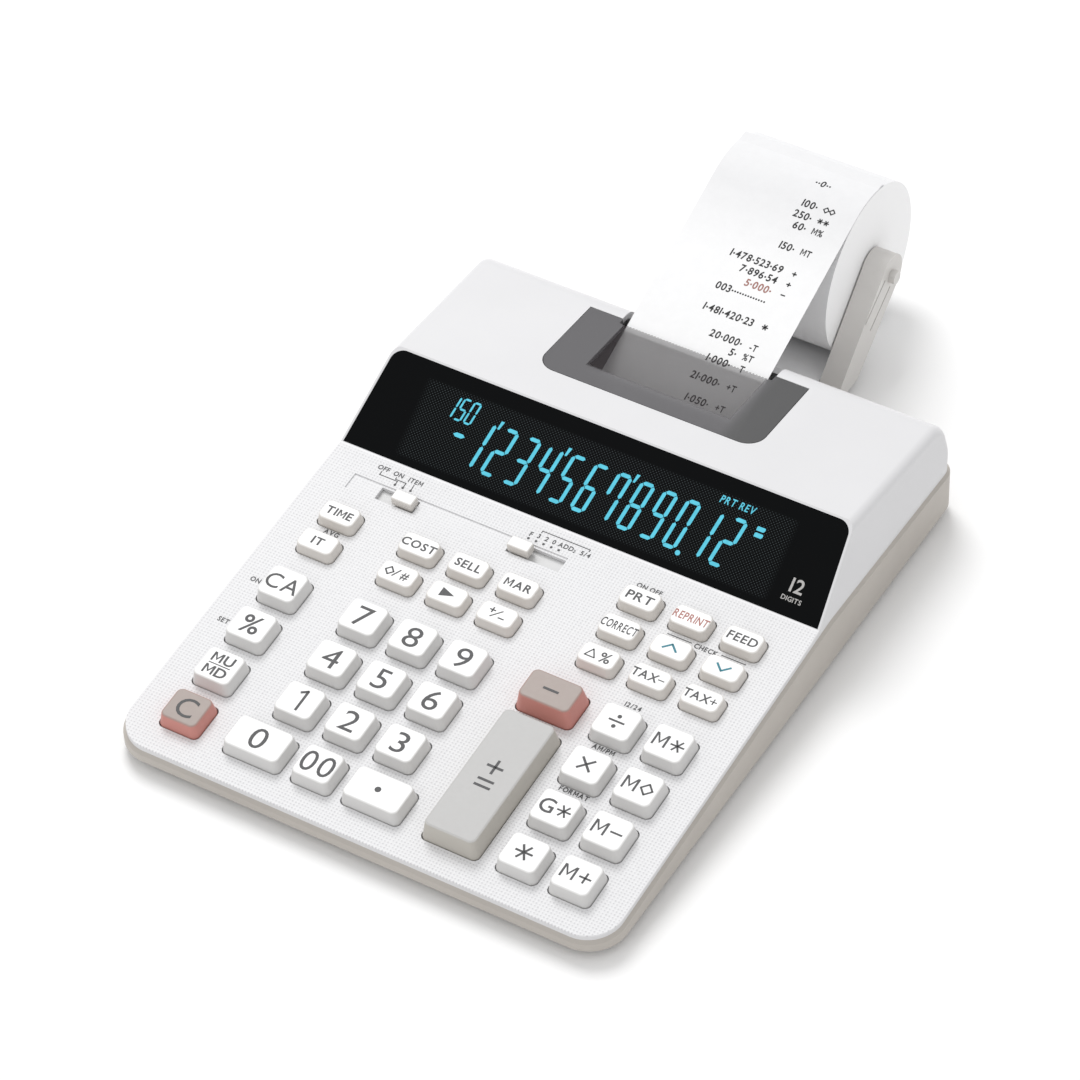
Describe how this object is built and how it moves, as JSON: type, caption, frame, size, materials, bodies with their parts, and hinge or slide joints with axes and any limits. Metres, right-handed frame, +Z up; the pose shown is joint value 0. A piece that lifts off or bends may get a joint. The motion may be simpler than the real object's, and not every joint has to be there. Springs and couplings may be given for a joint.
{
  "type": "printing desk calculator",
  "caption": "Desk calculator with a printer: a wedge-shaped white case with keys and two slide switches, a dark sloped display, a smoked printer cover and a paper roll on arms behind.",
  "frame": {"origin": "on the desk, under the middle of the bounding box of the calculator with its paper roll", "axes": "+X to the right of someone who uses it, +Y to the rear, +Z up"},
  "size_m": [0.195, 0.3425, 0.0674],
  "materials": {
    "case_white": "fine textured moulding, satin",
    "case_taupe": "fine textured moulding, matt",
    "key_white": "satin moulded keycap",
    "key_red": "satin moulded keycap",
    "key_grey": "satin moulded keycap",
    "window_smoked": "polished, printed black behind",
    "display_glass": "polished",
    "cover_smoked": "polished, smoked and clear",
    "holder_beige": "satin moulding",
    "paper": "uncoated",
    "board_green": "solder mask",
    "mat_rubber": "silicone, matt",
    "printer_metal": "dark plated sheet",
    "roller_rubber": "ground rubber",
    "printer_black": "moulded",
    "feet_rubber": "matt"
  },
  "bodies": {
    "case": {"display_module": "display_glass", "display_window": "window_smoked", "key_mat": "mat_rubber", "lower_case": "case_taupe", "main_board": "board_green", "paper_strip": "paper", "printer_frame": "printer_metal", "roll_holder": "holder_beige", "rubber_feet": "feet_rubber", "upper_case": "case_white"},
    "printer_cover": {"printer_cover": "cover_smoked"},
    "battery_door": {"battery_door": "case_taupe"},
    "power_switch_knob": {"power_switch_knob": "key_white"},
    "decimal_switch_knob": {"decimal_switch_knob": "key_white"},
    "paper_roll": {"paper_roll": "paper"},
    "feed_roller": {"feed_roller": "roller_rubber"},
    "print_wheel": {"print_wheel": "printer_black"},
    "key_backspace": {"key_backspace": "key_white"},
    "key_clear": {"key_clear": "key_red"},
    "key_clear_all": {"key_clear_all": "key_white"},
    "key_correct": {"key_correct": "key_white"},
    "key_cost": {"key_cost": "key_white"},
    "key_delta": {"key_delta": "key_white"},
    "key_digit_1": {"key_digit_1": "key_white"},
    "key_digit_2": {"key_digit_2": "key_white"},
    "key_digit_3": {"key_digit_3": "key_white"},
    "key_digit_4": {"key_digit_4": "key_white"},
    "key_digit_5": {"key_digit_5": "key_white"},
    "key_digit_6": {"key_digit_6": "key_white"},
    "key_digit_7": {"key_digit_7": "key_white"},
    "key_digit_8": {"key_digit_8": "key_white"},
    "key_digit_9": {"key_digit_9": "key_white"},
    "key_divide": {"key_divide": "key_white"},
    "key_double_zero": {"key_double_zero": "key_white"},
    "key_down": {"key_down": "key_white"},
    "key_feed": {"key_feed": "key_white"},
    "key_grand_total": {"key_grand_total": "key_white"},
    "key_item": {"key_item": "key_white"},
    "key_margin": {"key_margin": "key_white"},
    "key_markup": {"key_markup": "key_white"},
    "key_memory_minus": {"key_memory_minus": "key_white"},
    "key_memory_plus": {"key_memory_plus": "key_white"},
    "key_memory_subtotal": {"key_memory_subtotal": "key_white"},
    "key_memory_total": {"key_memory_total": "key_white"},
    "key_minus": {"key_minus": "key_red"},
    "key_multiply": {"key_multiply": "key_white"},
    "key_percent": {"key_percent": "key_white"},
    "key_point": {"key_point": "key_white"},
    "key_print": {"key_print": "key_white"},
    "key_reprint": {"key_reprint": "key_white"},
    "key_sell": {"key_sell": "key_white"},
    "key_sign": {"key_sign": "key_white"},
    "key_star": {"key_star": "key_white"},
    "key_subtotal": {"key_subtotal": "key_white"},
    "key_tax_minus": {"key_tax_minus": "key_white"},
    "key_tax_plus": {"key_tax_plus": "key_white"},
    "key_time": {"key_time": "key_white"},
    "key_total": {"key_total": "key_grey"},
    "key_up": {"key_up": "key_white"},
    "key_zero": {"key_zero": "key_white"}
  },
  "joints": [
    {"name": "printer_cover_hinge", "type": "hinge", "parent": "case", "child": "printer_cover", "pos_m": [0, 0.03335, 0.04382], "axis": [1, 0, 0], "range_deg": [0, 100]},
    {"name": "battery_door_slide", "type": "slide", "parent": "case", "child": "battery_door", "axis": [0, -1, 0], "range_m": [0, 0.008]},
    {"name": "power_switch_slide", "type": "slide", "parent": "case", "child": "power_switch_knob", "axis": [1, 0, 0], "range_m": [-0.0062, 0]},
    {"name": "decimal_switch_slide", "type": "slide", "parent": "case", "child": "decimal_switch_knob", "axis": [1, 0, 0], "range_m": [0, 0.0122]},
    {"name": "paper_roll_spin", "type": "hinge", "parent": "case", "child": "paper_roll", "pos_m": [0, 0.13825, 0.034], "axis": [1, 0, 0], "continuous": true},
    {"name": "feed_roller_spin", "type": "hinge", "parent": "case", "child": "feed_roller", "pos_m": [0, 0.02825, 0.0206], "axis": [1, 0, 0], "continuous": true},
    {"name": "print_wheel_spin", "type": "hinge", "parent": "case", "child": "print_wheel", "pos_m": [0, 0.01931, 0.03125], "axis": [1, 0, 0], "continuous": true},
    {"name": "key_total_press", "type": "slide", "parent": "case", "child": "key_total", "axis": [0, 0.0985, -0.9951], "range_m": [0, 0.0023], "stiffness_N_per_m": 250, "springref_m": -0.002},
    {"name": "key_minus_press", "type": "slide", "parent": "case", "child": "key_minus", "axis": [0, 0.0985, -0.9951], "range_m": [0, 0.0023], "stiffness_N_per_m": 250, "springref_m": -0.002},
    {"name": "key_zero_press", "type": "slide", "parent": "case", "child": "key_zero", "axis": [0, 0.0985, -0.9951], "range_m": [0, 0.0023], "stiffness_N_per_m": 250, "springref_m": -0.002},
    {"name": "key_clear_press", "type": "slide", "parent": "case", "child": "key_clear", "axis": [0, 0.0985, -0.9951], "range_m": [0, 0.0023], "stiffness_N_per_m": 250, "springref_m": -0.002},
    {"name": "key_time_press", "type": "slide", "parent": "case", "child": "key_time", "axis": [0, 0.0985, -0.9951], "range_m": [0, 0.0023], "stiffness_N_per_m": 250, "springref_m": -0.002},
    {"name": "key_digit_7_press", "type": "slide", "parent": "case", "child": "key_digit_7", "axis": [0, 0.0985, -0.9951], "range_m": [0, 0.0023], "stiffness_N_per_m": 250, "springref_m": -0.002},
    {"name": "key_point_press", "type": "slide", "parent": "case", "child": "key_point", "axis": [0, 0.0985, -0.9951], "range_m": [0, 0.0023], "stiffness_N_per_m": 250, "springref_m": -0.002},
    {"name": "key_feed_press", "type": "slide", "parent": "case", "child": "key_feed", "axis": [0, 0.0985, -0.9951], "range_m": [0, 0.0023], "stiffness_N_per_m": 250, "springref_m": -0.002},
    {"name": "key_memory_plus_press", "type": "slide", "parent": "case", "child": "key_memory_plus", "axis": [0, 0.0985, -0.9951], "range_m": [0, 0.0023], "stiffness_N_per_m": 250, "springref_m": -0.002},
    {"name": "key_backspace_press", "type": "slide", "parent": "case", "child": "key_backspace", "axis": [0, 0.0985, -0.9951], "range_m": [0, 0.0023], "stiffness_N_per_m": 250, "springref_m": -0.002},
    {"name": "key_clear_all_press", "type": "slide", "parent": "case", "child": "key_clear_all", "axis": [0, 0.0985, -0.9951], "range_m": [0, 0.0023], "stiffness_N_per_m": 250, "springref_m": -0.002},
    {"name": "key_correct_press", "type": "slide", "parent": "case", "child": "key_correct", "axis": [0, 0.0985, -0.9951], "range_m": [0, 0.0023], "stiffness_N_per_m": 250, "springref_m": -0.002},
    {"name": "key_cost_press", "type": "slide", "parent": "case", "child": "key_cost", "axis": [0, 0.0985, -0.9951], "range_m": [0, 0.0023], "stiffness_N_per_m": 250, "springref_m": -0.002},
    {"name": "key_delta_press", "type": "slide", "parent": "case", "child": "key_delta", "axis": [0, 0.0985, -0.9951], "range_m": [0, 0.0023], "stiffness_N_per_m": 250, "springref_m": -0.002},
    {"name": "key_digit_1_press", "type": "slide", "parent": "case", "child": "key_digit_1", "axis": [0, 0.0985, -0.9951], "range_m": [0, 0.0023], "stiffness_N_per_m": 250, "springref_m": -0.002},
    {"name": "key_digit_2_press", "type": "slide", "parent": "case", "child": "key_digit_2", "axis": [0, 0.0985, -0.9951], "range_m": [0, 0.0023], "stiffness_N_per_m": 250, "springref_m": -0.002},
    {"name": "key_digit_3_press", "type": "slide", "parent": "case", "child": "key_digit_3", "axis": [0, 0.0985, -0.9951], "range_m": [0, 0.0023], "stiffness_N_per_m": 250, "springref_m": -0.002},
    {"name": "key_digit_4_press", "type": "slide", "parent": "case", "child": "key_digit_4", "axis": [0, 0.0985, -0.9951], "range_m": [0, 0.0023], "stiffness_N_per_m": 250, "springref_m": -0.002},
    {"name": "key_digit_5_press", "type": "slide", "parent": "case", "child": "key_digit_5", "axis": [0, 0.0985, -0.9951], "range_m": [0, 0.0023], "stiffness_N_per_m": 250, "springref_m": -0.002},
    {"name": "key_digit_6_press", "type": "slide", "parent": "case", "child": "key_digit_6", "axis": [0, 0.0985, -0.9951], "range_m": [0, 0.0023], "stiffness_N_per_m": 250, "springref_m": -0.002},
    {"name": "key_digit_8_press", "type": "slide", "parent": "case", "child": "key_digit_8", "axis": [0, 0.0985, -0.9951], "range_m": [0, 0.0023], "stiffness_N_per_m": 250, "springref_m": -0.002},
    {"name": "key_digit_9_press", "type": "slide", "parent": "case", "child": "key_digit_9", "axis": [0, 0.0985, -0.9951], "range_m": [0, 0.0023], "stiffness_N_per_m": 250, "springref_m": -0.002},
    {"name": "key_divide_press", "type": "slide", "parent": "case", "child": "key_divide", "axis": [0, 0.0985, -0.9951], "range_m": [0, 0.0023], "stiffness_N_per_m": 250, "springref_m": -0.002},
    {"name": "key_double_zero_press", "type": "slide", "parent": "case", "child": "key_double_zero", "axis": [0, 0.0985, -0.9951], "range_m": [0, 0.0023], "stiffness_N_per_m": 250, "springref_m": -0.002},
    {"name": "key_down_press", "type": "slide", "parent": "case", "child": "key_down", "axis": [0, 0.0985, -0.9951], "range_m": [0, 0.0023], "stiffness_N_per_m": 250, "springref_m": -0.002},
    {"name": "key_grand_total_press", "type": "slide", "parent": "case", "child": "key_grand_total", "axis": [0, 0.0985, -0.9951], "range_m": [0, 0.0023], "stiffness_N_per_m": 250, "springref_m": -0.002},
    {"name": "key_item_press", "type": "slide", "parent": "case", "child": "key_item", "axis": [0, 0.0985, -0.9951], "range_m": [0, 0.0023], "stiffness_N_per_m": 250, "springref_m": -0.002},
    {"name": "key_margin_press", "type": "slide", "parent": "case", "child": "key_margin", "axis": [0, 0.0985, -0.9951], "range_m": [0, 0.0023], "stiffness_N_per_m": 250, "springref_m": -0.002},
    {"name": "key_markup_press", "type": "slide", "parent": "case", "child": "key_markup", "axis": [0, 0.0985, -0.9951], "range_m": [0, 0.0023], "stiffness_N_per_m": 250, "springref_m": -0.002},
    {"name": "key_memory_minus_press", "type": "slide", "parent": "case", "child": "key_memory_minus", "axis": [0, 0.0985, -0.9951], "range_m": [0, 0.0023], "stiffness_N_per_m": 250, "springref_m": -0.002},
    {"name": "key_memory_subtotal_press", "type": "slide", "parent": "case", "child": "key_memory_subtotal", "axis": [0, 0.0985, -0.9951], "range_m": [0, 0.0023], "stiffness_N_per_m": 250, "springref_m": -0.002},
    {"name": "key_memory_total_press", "type": "slide", "parent": "case", "child": "key_memory_total", "axis": [0, 0.0985, -0.9951], "range_m": [0, 0.0023], "stiffness_N_per_m": 250, "springref_m": -0.002},
    {"name": "key_multiply_press", "type": "slide", "parent": "case", "child": "key_multiply", "axis": [0, 0.0985, -0.9951], "range_m": [0, 0.0023], "stiffness_N_per_m": 250, "springref_m": -0.002},
    {"name": "key_percent_press", "type": "slide", "parent": "case", "child": "key_percent", "axis": [0, 0.0985, -0.9951], "range_m": [0, 0.0023], "stiffness_N_per_m": 250, "springref_m": -0.002},
    {"name": "key_print_press", "type": "slide", "parent": "case", "child": "key_print", "axis": [0, 0.0985, -0.9951], "range_m": [0, 0.0023], "stiffness_N_per_m": 250, "springref_m": -0.002},
    {"name": "key_reprint_press", "type": "slide", "parent": "case", "child": "key_reprint", "axis": [0, 0.0985, -0.9951], "range_m": [0, 0.0023], "stiffness_N_per_m": 250, "springref_m": -0.002},
    {"name": "key_sell_press", "type": "slide", "parent": "case", "child": "key_sell", "axis": [0, 0.0985, -0.9951], "range_m": [0, 0.0023], "stiffness_N_per_m": 250, "springref_m": -0.002},
    {"name": "key_sign_press", "type": "slide", "parent": "case", "child": "key_sign", "axis": [0, 0.0985, -0.9951], "range_m": [0, 0.0023], "stiffness_N_per_m": 250, "springref_m": -0.002},
    {"name": "key_star_press", "type": "slide", "parent": "case", "child": "key_star", "axis": [0, 0.0985, -0.9951], "range_m": [0, 0.0023], "stiffness_N_per_m": 250, "springref_m": -0.002},
    {"name": "key_subtotal_press", "type": "slide", "parent": "case", "child": "key_subtotal", "axis": [0, 0.0985, -0.9951], "range_m": [0, 0.0023], "stiffness_N_per_m": 250, "springref_m": -0.002},
    {"name": "key_tax_minus_press", "type": "slide", "parent": "case", "child": "key_tax_minus", "axis": [0, 0.0985, -0.9951], "range_m": [0, 0.0023], "stiffness_N_per_m": 250, "springref_m": -0.002},
    {"name": "key_tax_plus_press", "type": "slide", "parent": "case", "child": "key_tax_plus", "axis": [0, 0.0985, -0.9951], "range_m": [0, 0.0023], "stiffness_N_per_m": 250, "springref_m": -0.002},
    {"name": "key_up_press", "type": "slide", "parent": "case", "child": "key_up", "axis": [0, 0.0985, -0.9951], "range_m": [0, 0.0023], "stiffness_N_per_m": 250, "springref_m": -0.002}
  ],
  "couplings": [
    {"joint": "feed_roller_spin", "follows": "paper_roll_spin", "ratio": 5.5}
  ]
}
